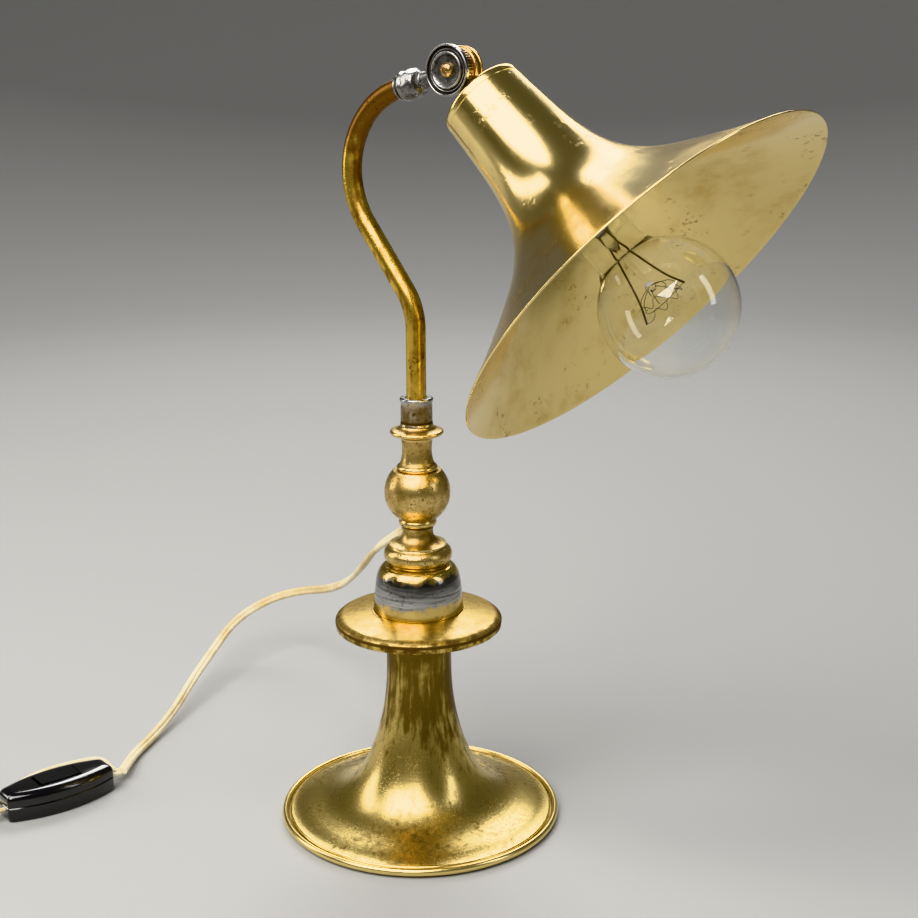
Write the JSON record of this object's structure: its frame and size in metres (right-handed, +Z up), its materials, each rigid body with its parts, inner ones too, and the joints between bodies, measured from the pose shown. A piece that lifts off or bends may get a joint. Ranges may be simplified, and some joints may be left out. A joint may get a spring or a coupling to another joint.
{
  "type": "adjustable table lamp",
  "caption": "Adjustable table lamp: trumpet foot, turned column, curved stem, friction knuckle, bell shade, clear bulb and cream flex with an in-line switch.",
  "frame": {"origin": "centre of the underside of the foot, on the surface the lamp stands on", "axes": "+Z up along the column, +X towards the shade, the stem and shade lie in the XZ plane"},
  "size_m": [0.4371, 0.349, 0.378],
  "materials": {
    "aged_brass": "brushed and aged, brown patina",
    "bright_brass": "bright worn bead",
    "felt": "green baize felt",
    "cast_iron": "rough casting",
    "plated_steel": "zinc plated, dull",
    "worn_nickel": "nickel worn through to brass",
    "column_brass": "pitted, polished on the high spots",
    "ferrule_brass": "greyish worn brass",
    "bushing_plastic": "dark moulded bushing",
    "cream_flex": "cream PVC flex",
    "stem_brass": "warm brown-gold, rubbed",
    "gunmetal_nickel": "darkened nickel plate",
    "fibre": "red vulcanised fibre",
    "screw_brass": "slotted brass screw",
    "lug_brass": "aged cast brass",
    "polished_brass": "mirror polish outside, satin inside",
    "holder_brass": "spun brass lampholder",
    "porcelain": "glazed porcelain",
    "contact_brass": "pressed brass contacts",
    "solder": "soft solder",
    "black_glass": "vitrite insulator",
    "bulb_cap_metal": "rolled thread cap",
    "clear_glass": "clear blown glass",
    "support_wire": "oxidised lead wires",
    "filament_wire": "drawn tungsten",
    "black_gloss": "glossy black moulding",
    "black_matte": "moulded nylon tie",
    "pin_nickel": "nickel plated pins"
  },
  "bodies": {
    "base": {"foot_shell": "aged_brass", "rim_ring": "bright_brass", "felt_pad": "felt", "base_weight": "cast_iron", "tie_rod": "plated_steel", "tie_rod_washer": "plated_steel", "tie_rod_nut": "plated_steel", "drip_disc": "aged_brass", "dome_cup": "worn_nickel", "column_ring": "column_brass", "lower_neck": "column_brass", "cord_bushing": "bushing_plastic", "ball_knop": "column_brass", "upper_neck": "column_brass", "top_flange": "column_brass", "stem_ferrule": "ferrule_brass", "column_nipple": "plated_steel", "column_flex": "cream_flex", "switch_lower_shell": "black_gloss", "switch_upper_shell": "black_gloss", "switch_screws": "plated_steel", "flex_lead": "cream_flex", "switched_core_in": "cream_flex", "switched_core_out": "cream_flex", "bypass_core": "cream_flex", "flex_tail": "cream_flex", "flex_coil": "cream_flex", "coil_tie": "black_matte", "flex_end": "cream_flex", "plug_body": "black_gloss", "plug_pins": "pin_nickel"},
    "arm": {"stem_tube": "stem_brass", "stem_flex": "cream_flex", "arm_lug": "gunmetal_nickel", "friction_washer": "fibre", "face_disc": "gunmetal_nickel"},
    "hinge_screw": {"knuckle_screw": "screw_brass"},
    "shade": {"shade_lug": "lug_brass", "spring_washer": "plated_steel", "knuckle_nut": "screw_brass", "shade_nipple": "plated_steel", "shade_cap": "polished_brass", "shade_bell": "polished_brass", "cap_locknut": "plated_steel", "holder_cap": "holder_brass", "holder_body": "holder_brass", "porcelain_core": "porcelain", "screw_shell": "contact_brass", "centre_contact": "contact_brass", "terminal_screws": "contact_brass"},
    "bulb": {"bulb_contact": "solder", "bulb_insulator": "black_glass", "bulb_screw_cap": "bulb_cap_metal", "bulb_glass": "clear_glass", "bulb_mount": "clear_glass", "bulb_leads": "support_wire", "bulb_filament": "filament_wire"},
    "rocker": {"switch_rocker": "black_gloss"}
  },
  "joints": [
    {"name": "arm_swing", "type": "hinge", "parent": "base", "child": "arm", "pos_m": [0, 0, 0.2], "axis": [0, 0, 1], "range_deg": [-170, 170]},
    {"name": "shade_tilt", "type": "hinge", "parent": "arm", "child": "shade", "pos_m": [0.02447, 0, 0.36659], "axis": [0, -1, 0], "range_deg": [-14, 100]},
    {"name": "hinge_screw_turn", "type": "hinge", "parent": "arm", "child": "hinge_screw", "pos_m": [0.02447, 0, 0.36659], "axis": [0, -1, 0], "range_deg": [0, 180]},
    {"name": "bulb_turn", "type": "hinge", "parent": "shade", "child": "bulb", "pos_m": [0.09994, 0, 0.30098], "axis": [-0.7547, 0, 0.6561], "range_deg": [0, 180]},
    {"name": "switch_rock", "type": "hinge", "parent": "base", "child": "rocker", "pos_m": [-0.1556, -0.1044, 0.0115], "axis": [-0.9673, 0.2538, 0], "range_deg": [-8, 8]}
  ]
}
